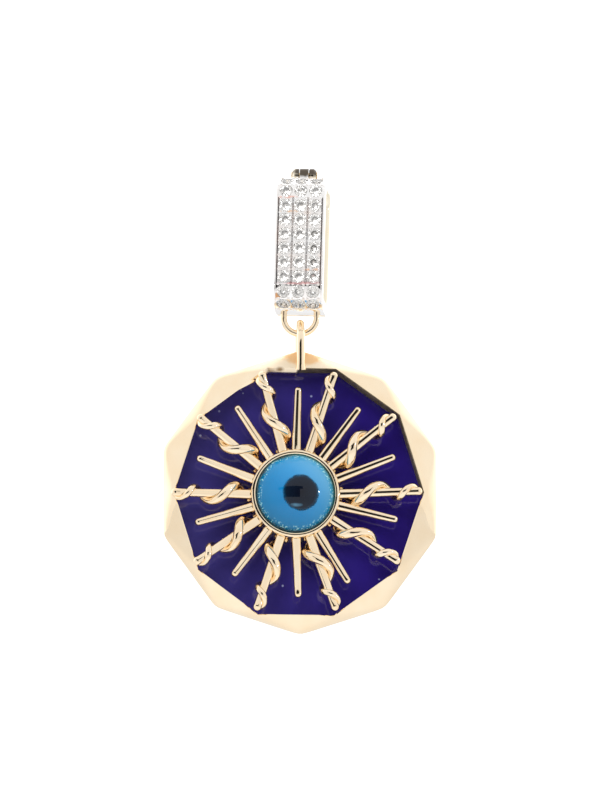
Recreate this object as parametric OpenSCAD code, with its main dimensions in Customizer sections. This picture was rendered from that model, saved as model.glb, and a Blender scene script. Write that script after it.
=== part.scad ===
// Evil eye pendant on a hinged chain holder, hanging as it is worn.
// Millimetres, +Z up, the front faces -Y. The origin is the chain's seat, inside the top of the holder.

/* [Holder] */
// Width of the holder along the chain
holder_w = 4.9; // [4.5:0.1:5.5]
// Depth of the closed holder, front to back
holder_d = 7.6; // [7.2:0.1:9]
// Height of the flat front, between the bends
flat_h = 8.8; // [8.7:0.1:10]
// Outer radius of the holder's bends
bend_r = 2.3; // [2.2:0.05:2.6]
// Thickness of the holder's wall
holder_wall = 1.1; // [1:0.05:1.2]
// Lean of the holder to the wearer's left, in degrees
holder_lean = 1.7; // [-3:0.1:3]
// Turn of the holder about the upright, in degrees
holder_turn = 7; // [0:0.5:8]

/* [Pave] */
// Diameter of a stone's girdle
stone_d = 1.24; // [1.1:0.01:1.28]
// Distance between rows of stones
row_pitch = 1.43; // [1.4:0.01:1.5]
// Distance between columns of stones
column_pitch = 1.47; // [1.42:0.01:1.5]
// Rows on the flat front
flat_rows = 6; // [6:2:6]
// Rows on each bend
bend_rows = 2; // [1:1:2]
// Radial clearance of a stone in its seat
seat_gap = 0.03; // [0.02:0.005:0.04]
// Width of the grooves beside the columns
groove_w = 0.1; // [0.08:0.01:0.12]
// Depth of the grooves beside the columns
groove_depth = 0.22; // [0.1:0.01:0.3]

/* [Hinge and catch] */
// Radius of the hinge knuckles
knuckle_r = 0.68; // [0.6:0.01:0.72]
// Length of the middle knuckle
knuckle_w = 0.86; // [0.7:0.02:1]
// Length of all three knuckles together
hinge_w = 2.4; // [2.2:0.05:2.6]
// Radius of the hinge pin
pin_r = 0.25; // [0.2:0.01:0.3]
// Clearance between parts that move past each other
run_gap = 0.08; // [0.06:0.01:0.1]
// Width of the catch tongue
tongue_w = 1.7; // [1.2:0.1:1.8]

/* [Loops] */
// Radius of the loop wire
wire_r = 0.325; // [0.3:0.005:0.35]
// Radius of the hanging loop's bend, to the middle of the wire
loop_r = 1.65; // [1.6:0.05:1.8]
// Drop from the chain's seat to the bottom wire of the hanging loop
loop_drop = 14.33; // [14.2:0.01:14.6]
// Radius of the medallion's strap wire
strap_r = 0.4; // [0.38:0.01:0.42]
// Radius of the strap's bend, to the middle of the wire
strap_bend = 2.2; // [2.15:0.01:2.25]
// Gap between the strap and the wire that it hangs on
hang_gap = 0.1; // [0.05:0.01:0.15]

/* [Medallion] */
// Radius of the outer facet points
point_r = 14.35; // [14:0.05:14.8]
// Drop from the hanging loop's bottom wire to the middle of the medallion
medallion_drop = 16.02; // [16:0.01:16.1]
// Width of the front lip
lip_w = 0.38; // [0.3:0.01:0.45]
// How far the lip stands in front of the middle plane
lip_y = 2.3; // [2.2:0.05:2.5]
// How far the widest edge stands in front of the middle plane
edge_y = 0.95; // [0.8:0.05:1.1]
// Thickness of the widest edge
edge_t = 0.5; // [0.3:0.05:0.7]
// How far the back lies behind the middle plane
back_y = 1.6; // [1.6:0.05:1.7]
// Radius of the flat back, to its corners
back_r = 13.3; // [13.2:0.05:13.4]
// Depth of the recess from the lip to the panel
recess = 2.6; // [2.4:0.05:2.7]
// Thickness of the blue panel
panel_t = 0.8; // [0.6:0.05:0.85]

/* [Sun] */
// Sideways place of the sun from the medallion's middle
sun_x = -0.5; // [-0.6:0.05:0.6]
// Upward place of the sun from the medallion's middle
sun_z = -0.25; // [-0.4:0.05:0.4]
// Radius of the glass
glass_r = 3.93; // [3.9:0.01:3.95]
// Outer radius of the bezel
bezel_r = 4.45; // [4.4:0.01:4.5]
// Height of the bezel over the panel
bezel_h = 2.05; // [1.9:0.05:2.2]
// Rise of the glass over the bezel
dome_h = 1.85; // [1.6:0.05:2.1]
// Radius of the pupil
pupil_r = 1.84; // [1.6:0.02:2]
// Sideways place of the pupil from the glass's middle
pupil_x = 0.6; // [-0.7:0.05:0.7]
// Upward place of the pupil from the glass's middle
pupil_z = -0.3; // [-0.5:0.05:0.5]
// Radius of a plain ray at the bezel
plain_root_r = 0.42; // [0.4:0.01:0.5]
// Radius of a plain ray at its tip
plain_tip_r = 0.27; // [0.22:0.01:0.3]
// Radius of a wound ray at the bezel
wound_root_r = 0.44; // [0.4:0.01:0.5]
// Radius of a wound ray at its tip
wound_tip_r = 0.34; // [0.3:0.01:0.38]

/* [Hidden] */
$fn = 64;

// Gap between pieces that are set in one another
set_gap = 0.02;
// Length by which a cutter runs past a face
past = 0.5;

// Corners of the recess, a row for each: angle, radius from the medallion's middle
CORNERS = [[-1.4, 12.5], [38.6, 12.65], [71, 13.1], [109.5, 13.05], [146, 12.5],
           [181.4, 12.55], [217.1, 12.85], [250.4, 13.1], [287.6, 12.95], [322.1, 12.55]];
// Plain rays, a row for each: angle, tip radius from the eye's middle
PLAIN = [[88.6, 10.7], [53.4, 10.8], [20.5, 10.7], [-14.8, 10.6], [-59.6, 10.55],
         [-88.6, 10.55], [-126.6, 10.5], [-162.8, 10.5], [160.5, 10.5], [124.4, 10.6]];
// Wound rays, a row for each: angle, tip radius from the eye's middle
WOUND = [[72.1, 12.8], [38.1, 12.75], [0.7, 12.7], [-34.3, 12.6], [-71.3, 12.6],
         [-108.3, 12.6], [-144.5, 12.5], [-179.5, 12.5], [142.1, 12.5], [106, 12.7]];
// The ribbon on a wound ray, a row for each quarter turn:
// quarter turns, distance from the eye's middle, sideways reach, half width, half thickness
RIBBON = [[-1, 4.85, 0.78, 0.34, 0.24], [0, 5.95, 0.88, 0.46, 0.28], [1, 7.30, 0.93, 0.46, 0.29],
          [2, 8.50, 0.88, 0.41, 0.27], [3, 9.40, 0.78, 0.35, 0.24], [4, 10.20, 0.68, 0.32, 0.22],
          [5, 10.95, 0.62, 0.30, 0.21], [6, 11.70, 0.55, 0.26, 0.19], [7, 12.20, 0.38, 0.19, 0.15]];
// Tip radius that the ribbon's distances belong to
ribbon_tip = 12.6;
// Rings to a quarter turn of the ribbon, and sides to a ring
ribbon_rings = 4;
ribbon_sides = 6;

ring_h = flat_h + 2 * bend_r;
ring_top = holder_wall;
ring_mid = ring_top - ring_h / 2;
ring_low = ring_top - ring_h;
front_y = -holder_d / 2;
hinge_z = ring_top + knuckle_r - 0.03;
// Where the front half ends and the gate begins, at the top and at the bottom
split_top = 0;
split_low = 0.75;
split_gap = 0.1;
// The gate's two outer knuckles
arm_w = (hinge_w - knuckle_w) / 2 - run_gap;
arm_x = knuckle_w / 2 + run_gap + arm_w / 2;
bore_r = pin_r + 0.03;
// The webs under the knuckles run this far into the wall
web_root = 0.4;
web_h = hinge_z - ring_top + web_root;
// The catch tongue, and how far the legs of the hanging loop are let into the holder
tongue_t = 0.4;
tongue_z = ring_low + 0.35;
leg_root = 0.7;
seat_r = stone_d / 2 + seat_gap;
rail_x = 1.5 * column_pitch;

// Heights of a cut stone over and under its girdle
crown_h = 0.19;
girdle_h = 0.04;
pavilion_h = 0.5;
table_r = 0.55 * stone_d / 2;

// The middle of the strap's bend, in front of the hanging wire and under it
strap_y = -0.35;
strap_z = -sqrt(pow(strap_bend - strap_r - wire_r - hang_gap, 2) - pow(strap_y, 2));

// The bottom wire of the hanging loop, with the holder leaning and turned as it hangs
hang_x = -loop_drop * sin(holder_lean) * cos(holder_turn);
hang_y = loop_drop * sin(holder_lean) * sin(holder_turn);
hang_z = -loop_drop * cos(holder_lean);
middle_z = -medallion_drop;
panel_y = recess - lip_y;

module holder_place() rotate([0, holder_lean, -holder_turn]) children();
module medallion_place() translate([hang_x, hang_y, hang_z]) children();
module sun_place() medallion_place() translate([sun_x, 0, middle_z + sun_z]) children();

// Lays a shape drawn in the XY plane into the YZ plane, extruded along X
module upright() rotate([90, 0, 90]) children();

// A plate of the holder's wall, from one corner to the other in Y and Z
module wall_plate(y0, y1, z0, z1) translate([-holder_w / 2, y0, z0]) cube([holder_w, y1 - y0, z1 - z0]);

// A quarter bend of the holder's wall round a centre in Y and Z
module wall_bend(y, z, start) {
    translate([0, y, z]) upright() rotate([0, 0, start]) rotate_extrude(angle = 90)
        translate([bend_r - holder_wall, -holder_w / 2]) square([holder_wall, holder_w]);
}

// The front half's wall, from the hinge round the front to the catch
module front_wall() {
    y_bend = front_y + bend_r;
    wall_plate(y_bend, split_top, ring_top - holder_wall, ring_top);
    wall_bend(y_bend, ring_top - bend_r, 90);
    wall_plate(front_y, front_y + holder_wall, ring_low + bend_r, ring_top - bend_r);
    wall_bend(y_bend, ring_low + bend_r, 180);
    wall_plate(y_bend, split_low, ring_low, ring_low + holder_wall);
}

// The gate's wall, from the hinge round the back to the catch
module gate_wall() {
    y_bend = -front_y - bend_r;
    wall_plate(split_top + split_gap, y_bend, ring_top - holder_wall, ring_top);
    wall_bend(y_bend, ring_top - bend_r, 0);
    wall_plate(-front_y - holder_wall, -front_y, ring_low + bend_r, ring_top - bend_r);
    wall_bend(y_bend, ring_low + bend_r, 270);
    wall_plate(split_low + split_gap, y_bend, ring_low, ring_low + holder_wall);
}

module x_cylinder(r, length) rotate([0, 90, 0]) cylinder(r = r, h = length, center = true);

module at_hinge() translate([0, split_top, hinge_z]) children();

// Places a stone by its distance along the front's outline from the flat's middle
module on_front(s, x) {
    over = abs(s) - flat_h / 2;
    turn = over > 0 ? over / bend_r * 180 / PI : 0;
    side = s < 0 ? -1 : 1;
    along = over > 0 ? flat_h / 2 : abs(s);
    translate([x, front_y + bend_r, ring_mid + side * along]) rotate([-side * turn, 0, 0])
        translate([0, -bend_r, 0]) rotate([90, 0, 0]) children();
}

// The rows' distances along the front's outline
ROWS = concat([for (i = [0:flat_rows - 1]) (i - (flat_rows - 1) / 2) * row_pitch],
              [for (i = [0:bend_rows - 1], side = [-1, 1]) side * (flat_h / 2 + (i + 0.5) * row_pitch)]);

module each_stone() for (s = ROWS, c = [-1:1]) on_front(s, c * column_pitch) children();

// Seat for one stone: a round wall for the girdle, a cone and a hole through the wall
module seat() {
    wall_h = crown_h + girdle_h;
    translate([0, 0, -wall_h]) cylinder(r = seat_r, h = wall_h + past);
    translate([0, 0, -wall_h - pavilion_h]) cylinder(r1 = seat_r * 0.3, r2 = seat_r, h = pavilion_h);
    translate([0, 0, -holder_wall - past]) cylinder(r = seat_r * 0.32, h = holder_wall);
}

module grooves() {
    for (x = [-rail_x, -column_pitch / 2, column_pitch / 2, rail_x])
        translate([x - groove_w / 2, front_y - past, ring_mid - flat_h / 2])
            cube([groove_w, groove_depth + past, flat_h]);
}

module holder_front() {
    color("gainsboro") holder_place() difference() {
        union() {
            difference() {
                front_wall();
                for (x = [-1, 1]) at_hinge() translate([x * arm_x, 0, 0])
                    x_cylinder(knuckle_r + run_gap, arm_w + 2 * run_gap);
            }
            at_hinge() x_cylinder(knuckle_r, knuckle_w);
            translate([-knuckle_w / 2, -knuckle_r, ring_top - web_root]) cube([knuckle_w, knuckle_r, web_h]);
        }
        each_stone() seat();
        grooves();
        at_hinge() x_cylinder(bore_r, hinge_w);
        // Slot for the catch tongue
        translate([-tongue_w / 2 - run_gap, 0.05, tongue_z - run_gap])
            cube([tongue_w + 2 * run_gap, holder_d, tongue_t + 2 * run_gap]);
        // Holes for the hanging loop's legs
        for (x = [-1, 1]) translate([x * loop_r, 0, ring_low - past])
            cylinder(r = wire_r + set_gap, h = past + leg_root + 0.05);
    }
}

// One round stone: table, eight star and kite facets, upper girdle, girdle and pavilion
module stone() {
    girdle_r = stone_d / 2;
    mid_r = (table_r + girdle_r) * 0.52;
    table = [for (i = [0:7]) [table_r * cos(45 * i), table_r * sin(45 * i), 0]];
    star = [for (i = [0:7]) [mid_r * cos(45 * i + 22.5), mid_r * sin(45 * i + 22.5), -crown_h * 0.45]];
    upper = [for (j = [0:15]) [girdle_r * cos(22.5 * j), girdle_r * sin(22.5 * j), -crown_h]];
    lower = [for (p = upper) [p.x, p.y, -crown_h - girdle_h]];
    culet = [[0, 0, -crown_h - girdle_h - pavilion_h * 0.9]];
    polyhedron(points = concat(table, star, upper, lower, culet), faces = concat(
        [[for (i = [7:-1:0]) i]],
        [for (i = [0:7]) [i, (i + 1) % 8, 8 + i]],
        [for (i = [0:7]) [i, 8 + i, 16 + 2 * i]],
        [for (i = [0:7]) [i, 16 + 2 * i, 8 + (i + 7) % 8]],
        [for (i = [0:7]) [8 + i, 17 + 2 * i, 16 + 2 * i]],
        [for (i = [0:7]) [8 + i, 16 + (2 * i + 2) % 16, 17 + 2 * i]],
        [for (j = [0:15]) [16 + j, 16 + (j + 1) % 16, 32 + j]],
        [for (j = [0:15]) [32 + j, 16 + (j + 1) % 16, 32 + (j + 1) % 16]],
        [for (j = [0:15]) [48, 32 + j, 32 + (j + 1) % 16]]));
}

module pave_stones() color("aliceblue") holder_place() each_stone() stone();

// One of the gate's knuckles, along +Z, bevelled at its far end
module arm_barrel() {
    bevel = 0.25;
    cylinder(r = knuckle_r, h = arm_w - bevel);
    translate([0, 0, arm_w - bevel]) cylinder(r1 = knuckle_r, r2 = knuckle_r - 0.22, h = bevel);
}

module gate() {
    color("gold") holder_place() difference() {
        union() {
            gate_wall();
            for (x = [-1, 1]) {
                at_hinge() translate([x * (arm_x - arm_w / 2), 0, 0]) rotate([0, x * 90, 0]) arm_barrel();
                translate([x * arm_x - arm_w / 2, split_gap, ring_top - web_root])
                    cube([arm_w, knuckle_r - split_gap, web_h]);
            }
            // Catch tongue
            translate([-tongue_w / 2, 0.2, tongue_z]) cube([tongue_w, 1.2, tongue_t]);
        }
        at_hinge() x_cylinder(knuckle_r + run_gap, knuckle_w + 2 * run_gap);
        at_hinge() x_cylinder(bore_r, hinge_w + past);
    }
}

module hinge_pin() {
    color("goldenrod") holder_place() at_hinge() {
        x_cylinder(pin_r, hinge_w + 0.2);
        for (x = [-1, 1]) translate([x * (hinge_w / 2 + 0.06), 0, 0]) x_cylinder(pin_r + 0.12, 0.08);
    }
}

module hang_loop() {
    bend_z = -loop_drop + loop_r;
    color("gold") holder_place() {
        translate([0, 0, bend_z]) rotate([90, 0, 0]) rotate([0, 0, 180])
            rotate_extrude(angle = 180) translate([loop_r, 0]) circle(wire_r);
        for (x = [-1, 1]) translate([x * loop_r, 0, bend_z])
            cylinder(r = wire_r, h = ring_low + leg_root - bend_z);
    }
}

function corner(k, grow) = let (c = CORNERS[k]) (c[1] + grow) * [cos(c[0]), sin(c[0])];

module corner_prism(grow, y0, y1) {
    translate([0, y1, middle_z]) rotate([90, 0, 0])
        linear_extrude(y1 - y0) polygon([for (k = [0:9]) corner(k, grow)]);
}

module point_prism(r, y0, y1, turn) {
    translate([0, y1, middle_z]) rotate([90, 0, 0])
        linear_extrude(y1 - y0) polygon([for (k = [0:9]) r * [cos(36 * k + turn), sin(36 * k + turn)]]);
}

module strap() {
    front_foot = 1.75;
    flare_h = 0.6;
    translate([0, strap_y, strap_z]) {
        upright() rotate_extrude(angle = 180) translate([strap_bend, 0]) circle(strap_r);
        translate([0, -strap_bend, -front_foot]) cylinder(r = strap_r, h = front_foot);
        translate([0, -strap_bend, -front_foot - flare_h]) cylinder(r1 = 0.58, r2 = strap_r, h = flare_h);
        translate([0, strap_bend, -front_foot]) cylinder(r = strap_r, h = front_foot);
        translate([0, strap_bend, -front_foot]) sphere(strap_r);
    }
}

module medallion_frame() {
    color("gold") medallion_place() {
        difference() {
            hull() {
                corner_prism(lip_w, -lip_y, -lip_y + 0.15);
                point_prism(point_r, -edge_y, -edge_y + edge_t, 18);
                point_prism(back_r, back_y - 0.2, back_y, 0);
            }
            corner_prism(0, -lip_y - past, panel_y + panel_t + set_gap);
        }
        strap();
    }
}

module blue_panel() {
    color("midnightblue") medallion_place() corner_prism(-0.06, panel_y, panel_y + panel_t);
}

// A tapered round rod with a round tip, from the bezel out along a ray
module ray(angle, tip, root_r, tip_r, root_y, tip_y) {
    start = bezel_r - 0.25;
    run = tip - tip_r - start;
    rise = atan2(root_y - tip_y, run);
    length = run / cos(rise);
    rotate([0, -angle, 0]) translate([start, root_y, 0]) rotate([0, 0, -rise]) rotate([0, 90, 0]) {
        cylinder(r1 = root_r, r2 = tip_r, h = length);
        translate([0, 0, length]) sphere(tip_r);
    }
}

// One column of the ribbon's table at a given number of quarter turns, smoothed across the rows
function column(q, c) = let (pairs = [for (row = RIBBON) [row[0], row[c]]])
    (lookup(q - 0.6, pairs) + 2 * lookup(q, pairs) + lookup(q + 0.6, pairs)) / 4;

// Middle of the ribbon: along the ray, sideways, towards the front
function ribbon_point(q, stretch) = let (d = column(q, 1), reach = column(q, 2), thick = column(q, 4))
    [d * stretch, reach * cos(90 * q), (wound_root_r * 0.95 + thick * 0.7) * sin(90 * q)];

function unit(v) = v / norm(v);

function ribbon_ring(q, stretch) = let (
        p = ribbon_point(q, stretch),
        along = unit(ribbon_point(q + 0.05, stretch) - ribbon_point(q - 0.05, stretch)),
        out = unit([0, p.y, p.z]),
        across = unit(cross(along, out)),
        up = cross(across, along))
    [for (i = [0:ribbon_sides - 1]) let (a = 360 * i / ribbon_sides)
        p + column(q, 3) * cos(a) * across + column(q, 4) * sin(a) * up];

module ribbon(angle, tip, root_y, tip_y) {
    first = RIBBON[0][0];
    last = RIBBON[len(RIBBON) - 1][0];
    steps = (last - first) * ribbon_rings;
    n = ribbon_sides;
    points = [for (k = [0:steps]) each ribbon_ring(first + k / ribbon_rings, tip / ribbon_tip)];
    sides = [for (k = [0:steps - 1], i = [0:n - 1]) let (a = k * n + i, b = k * n + (i + 1) % n)
        each [[a, b, b + n], [a, b + n, a + n]]];
    rise = atan2(root_y - tip_y, tip - bezel_r);
    // Along the ray is +X, sideways is -Z for the clockwise side, the front is -Y
    rotate([0, -angle, 0]) translate([bezel_r, root_y, 0]) rotate([0, 0, -rise]) translate([-bezel_r, 0, 0])
        rotate([90, 0, 0]) mirror([0, 1, 0]) polyhedron(points, concat(
            sides, [[for (i = [n - 1:-1:0]) i], [for (i = [0:n - 1]) steps * n + i]]));
}

module bezel() {
    foot = panel_y - set_gap;
    floor_h = 0.4;
    chamfer = 0.2;
    rim_r = glass_r - 0.02;
    cup_r = glass_r + set_gap;
    rotate([90, 0, 0]) translate([0, 0, -foot]) rotate_extrude() polygon([
        [0, 0], [bezel_r, 0], [bezel_r, bezel_h - chamfer], [bezel_r - 0.12, bezel_h], [rim_r, bezel_h],
        [rim_r, bezel_h - 0.14], [cup_r, bezel_h - 0.3], [cup_r, floor_h], [0, floor_h]]);
}

module sun() {
    root_y = panel_y - bezel_h * 0.6;
    color("gold") sun_place() {
        bezel();
        for (row = PLAIN) ray(row[0], row[1], plain_root_r, plain_tip_r, root_y, root_y - 0.55);
        for (row = WOUND) {
            tip_y = -lip_y - wound_tip_r - set_gap;
            ray(row[0], row[1], wound_root_r, wound_tip_r, root_y, tip_y);
            ribbon(row[0], row[1], root_y, tip_y);
        }
    }
}

// The glass: a round foot under a dome, in the bezel's cup
module glass_body() {
    foot = panel_y - set_gap - 0.42;
    waist = panel_y - bezel_h + 0.3;
    dome_r = (pow(glass_r - 0.1, 2) + pow(dome_h, 2)) / (2 * dome_h);
    rotate([90, 0, 0]) translate([0, 0, -foot]) {
        cylinder(r = glass_r, h = foot - waist - 0.06);
        intersection() {
            cylinder(r = glass_r - 0.1, h = foot - waist + 0.2 + dome_h + past);
            translate([0, 0, foot - waist + 0.3 + dome_h - dome_r]) sphere(dome_r);
        }
    }
}

module pupil_space(r) {
    translate([pupil_x, panel_y - bezel_h - 0.75, pupil_z]) rotate([90, 0, 0])
        cylinder(r = r, h = dome_h + past);
}

module eye_glass() {
    color("steelblue") sun_place() difference() {
        glass_body();
        translate([0, set_gap, 0]) pupil_space(pupil_r + set_gap);
    }
}

module eye_pupil() {
    color([0.05, 0.05, 0.06]) sun_place() intersection() {
        glass_body();
        pupil_space(pupil_r);
    }
}

holder_front();
pave_stones();
gate();
hinge_pin();
hang_loop();
medallion_frame();
blue_panel();
sun();
eye_glass();
eye_pupil();
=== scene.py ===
"""Looks of a gold evil eye pendant that hangs from a stone-set, hinged chain holder.

The classes hold their sizes in millimetres, in the frame of the piece that they belong to, and the
meshes are made in metres, in the frame of the whole part: +Z up, the front facing -Y, and the origin at
the chain's seat.
"""

import logging
import math
from dataclasses import dataclass, field
from enum import Enum
from math import cos, pi, radians, sin
from typing import Callable, Optional, Sequence

import bpy
import numpy as np
from mathutils import Matrix, Vector


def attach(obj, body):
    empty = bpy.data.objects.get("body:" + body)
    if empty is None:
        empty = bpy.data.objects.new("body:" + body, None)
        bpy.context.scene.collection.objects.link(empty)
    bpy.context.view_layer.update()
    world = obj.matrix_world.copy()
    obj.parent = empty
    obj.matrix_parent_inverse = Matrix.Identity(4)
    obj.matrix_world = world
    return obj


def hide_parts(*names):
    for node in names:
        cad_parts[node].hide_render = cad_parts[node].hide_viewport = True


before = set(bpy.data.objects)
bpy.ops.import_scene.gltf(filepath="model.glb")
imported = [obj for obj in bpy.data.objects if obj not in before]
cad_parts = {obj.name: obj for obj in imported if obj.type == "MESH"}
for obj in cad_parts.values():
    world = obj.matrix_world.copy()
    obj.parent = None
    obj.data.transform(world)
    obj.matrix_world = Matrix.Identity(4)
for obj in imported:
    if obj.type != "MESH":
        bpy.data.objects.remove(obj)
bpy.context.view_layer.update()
LOG = logging.getLogger("pendant")
MM = 0.001

Colour = tuple[float, float, float]
Stops = tuple[tuple[float, Colour], ...]
Ring = list[Vector]
Material = bpy.types.Material
Socket = bpy.types.NodeSocket


class Body(str, Enum):
    """The moving bodies that pieces ride on."""

    HOLDER = "holder"
    GATE = "gate"
    MEDALLION = "medallion"


class Slot(str, Enum):
    """The record's material slots that pieces take."""

    WHITE_GOLD = "white_gold"
    YELLOW_GOLD = "yellow_gold"
    STONE = "clear_stone"
    EYE = "blue_glass"
    PUPIL = "black_glass"


@dataclass(frozen=True)
class Hang:
    """How the parts hang from one another, in millimetres and degrees."""

    lean: float = 1.7
    turn: float = 7.0
    loop_drop: float = 14.33
    medallion_drop: float = 16.02
    sun_x: float = -0.5
    sun_z: float = -0.25

    def holder(self) -> Matrix:
        """Place of the holder and its loop."""
        return Matrix.Rotation(radians(-self.turn), 4, "Z") @ Matrix.Rotation(radians(self.lean), 4, "Y")

    def pivot(self) -> Matrix:
        """Place of the wire that the medallion hangs on."""
        return Matrix.Translation(self.holder() @ Vector((0, 0, -self.loop_drop)))

    def medallion(self) -> Matrix:
        """Place of the medallion's middle."""
        return self.pivot() @ Matrix.Translation((0, 0, -self.medallion_drop))

    def sun(self) -> Matrix:
        """Place of the eye's middle."""
        return self.medallion() @ Matrix.Translation((self.sun_x, 0, self.sun_z))


HANG = Hang()


@dataclass
class Shape:
    """A mesh in the making, in millimetres."""

    points: list[Vector] = field(default_factory=list)
    faces: list[tuple[int, ...]] = field(default_factory=list)

    def add(self, points: Sequence[Vector], faces: Sequence[Sequence[int]]) -> None:
        """Adds points and the faces between them.

        Args:
            points: The new points.
            faces: Faces that count from the first new point.
        """
        first = len(self.points)
        self.points += [Vector(p) for p in points]
        self.faces += [tuple(first + i for i in face) for face in faces]

    def loft(self, rings: Sequence[Ring], caps: tuple[bool, bool] = (True, True)) -> None:
        """Joins rings of equally many points by a skin that faces outwards.

        Args:
            rings: The rings in order, each one point long where the skin comes to a point.
            caps: Whether the first and the last ring are closed by a face.
        """
        n = max(len(r) for r in rings)
        starts, points, faces = [], [], []
        for ring in rings:
            starts.append(len(points))
            points += ring
        for k in range(len(rings) - 1):
            a, b = starts[k], starts[k + 1]
            for i in range(n):
                j = (i + 1) % n
                if len(rings[k]) == 1:
                    faces.append((a, b + i, b + j))
                elif len(rings[k + 1]) == 1:
                    faces.append((a + j, a + i, b))
                else:
                    faces.append((a + j, a + i, b + i, b + j))
        if caps[0] and len(rings[0]) > 1:
            faces.append(tuple(range(n)))
        if caps[1] and len(rings[-1]) > 1:
            faces.append(tuple(starts[-1] + i for i in reversed(range(n))))
        volume = sum(points[f[0]].dot(points[f[k]].cross(points[f[k + 1]]))
                     for f in faces for k in range(1, len(f) - 1))
        self.add(points, faces if volume > 0 else [tuple(reversed(f)) for f in faces])

    def tube(self, path: Sequence[Vector], radius: Callable[[float], float], sides: int,
             square_to: Vector) -> None:
        """Sweeps a circle along a path.

        Args:
            path: The middle of the tube, point by point.
            radius: The radius for a share of the path's points from 0 to 1.
            sides: Points round the circle.
            square_to: A direction that is square to the whole path.
        """
        last = len(path) - 1
        rings = []
        for k, p in enumerate(path):
            ahead = path[min(k + 1, last)] - path[max(k - 1, 0)]
            up = ahead.normalized().cross(square_to).normalized()
            rings.append([p + radius(k / last) * (cos(a) * square_to + sin(a) * up) for a in turns(sides)])
        self.loft(rings)

    def lathe(self, profile: Sequence[tuple[float, float]], sides: int) -> None:
        """Turns a profile round the Y axis, its heights towards the front.

        Args:
            profile: Radius and height of each point.
            sides: Points round the axis.
        """
        self.loft([[round_y(r, a, -h) for a in turns(sides)] if r > 0 else [Vector((0, -h, 0))]
                   for r, h in profile])

    def moved(self, place: Matrix) -> "Shape":
        """A copy of the shape at another place."""
        return Shape([place @ p for p in self.points], list(self.faces))

    def join(self, other: "Shape") -> None:
        """Adds another shape's skin to this one."""
        self.add(other.points, other.faces)

    def mesh(self, name: str, material: Material) -> bpy.types.Mesh:
        """Makes the mesh, in metres, in one material."""
        mesh = bpy.data.meshes.new(name)
        mesh.from_pydata([p * MM for p in self.points], [], self.faces)
        mesh.validate()
        mesh.materials.append(material)
        return mesh


def turns(n: int, start: float = 0.0) -> list[float]:
    """Angles in radians of n points round a circle, from a start angle."""
    return [start + 2 * pi * i / n for i in range(n)]


def round_y(r: float, a: float, y: float = 0.0) -> Vector:
    """A point at a radius and an angle round the Y axis."""
    return Vector((r * cos(a), y, r * sin(a)))


def round_z(r: float, height: float, count: int, start: float = 0.0) -> Ring:
    """A ring of points round the Z axis, at a height."""
    return [Vector((r * cos(a), r * sin(a), height)) for a in turns(count, start)]


def bead(r: float, height: float, rises: Sequence[float], sides: int) -> Shape:
    """A small bead that stands on the XY plane.

    Args:
        r: Its radius.
        height: Its height.
        rises: The angles of its rings over the plane.
        sides: Points to a ring.

    Returns:
        The bead.
    """
    shape = Shape()
    rings = [round_z(r * cos(e), height * sin(e), sides) for e in rises]
    shape.loft([*rings, [Vector((0, 0, height))]], (True, False))
    return shape


def squared(value: float, power: float) -> float:
    """A sine or cosine raised to a power with its sign kept, which makes a round section squarer."""
    return math.copysign(abs(value) ** power, value)


def spots(x: object, y: object, z: object) -> np.ndarray:
    """Points, a row for each, from numbers or arrays of their coordinates."""
    return np.column_stack(np.broadcast_arrays(x, y, z))


def smooth_table(rows: Sequence[Sequence[float]], at: float, column: int) -> float:
    """Reads a column of a table between its rows, without kinks.

    Args:
        rows: Rows in rising order of their first number.
        at: Where to read.
        column: Which column to read.

    Returns:
        The value there, or the nearest row's value outside the table.
    """
    if at <= rows[0][0]:
        return rows[0][column]
    if at >= rows[-1][0]:
        return rows[-1][column]
    k = max(i for i, row in enumerate(rows) if row[0] <= at)
    x0, x1 = rows[k][0], rows[k + 1][0]
    y0, y1 = rows[k][column], rows[k + 1][column]
    before, after = rows[max(k - 1, 0)], rows[min(k + 2, len(rows) - 1)]
    m0 = (y1 - before[column]) / (x1 - before[0]) * (x1 - x0)
    m1 = (after[column] - y0) / (after[0] - x0) * (x1 - x0)
    t = (at - x0) / (x1 - x0)
    return ((2 * t ** 3 - 3 * t ** 2 + 1) * y0 + (t ** 3 - 2 * t ** 2 + t) * m0
            + (3 * t ** 2 - 2 * t ** 3) * y1 + (t ** 3 - t ** 2) * m1)


def put(name: str, data: bpy.types.ID) -> bpy.types.Object:
    """Adds an object to the scene."""
    thing = bpy.data.objects.new(name, data)
    bpy.context.scene.collection.objects.link(thing)
    return thing


def dress(name: str, finish: Material) -> bpy.types.Object:
    """Gives a node of the frame its finish."""
    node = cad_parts[name]
    node.data.materials.clear()
    node.data.materials.append(finish)
    LOG.info("%s: dressed in %s", name, finish.name)
    return node


@dataclass
class Piece:
    """One named piece of the looks."""

    name: str
    shape: Shape
    material: Material
    body: Body
    stands_for: tuple[str, ...]
    place: Matrix
    slot: Slot
    crease: float = 40.0

    def build(self) -> None:
        """Makes the object, gives it its finish and fixes it to its body."""
        mesh = self.shape.mesh(self.name, self.material)
        mesh.shade_smooth()
        mesh.set_sharp_from_angle(angle=radians(self.crease))
        thing = put(self.name, mesh)
        place = self.place.copy()
        place.translation *= MM
        thing.matrix_world = place
        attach(thing, self.body.value)
        if self.stands_for:
            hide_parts(*self.stands_for)
        LOG.info("%s: %d faces, on %s", self.name, len(mesh.polygons), self.body.value)


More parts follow.
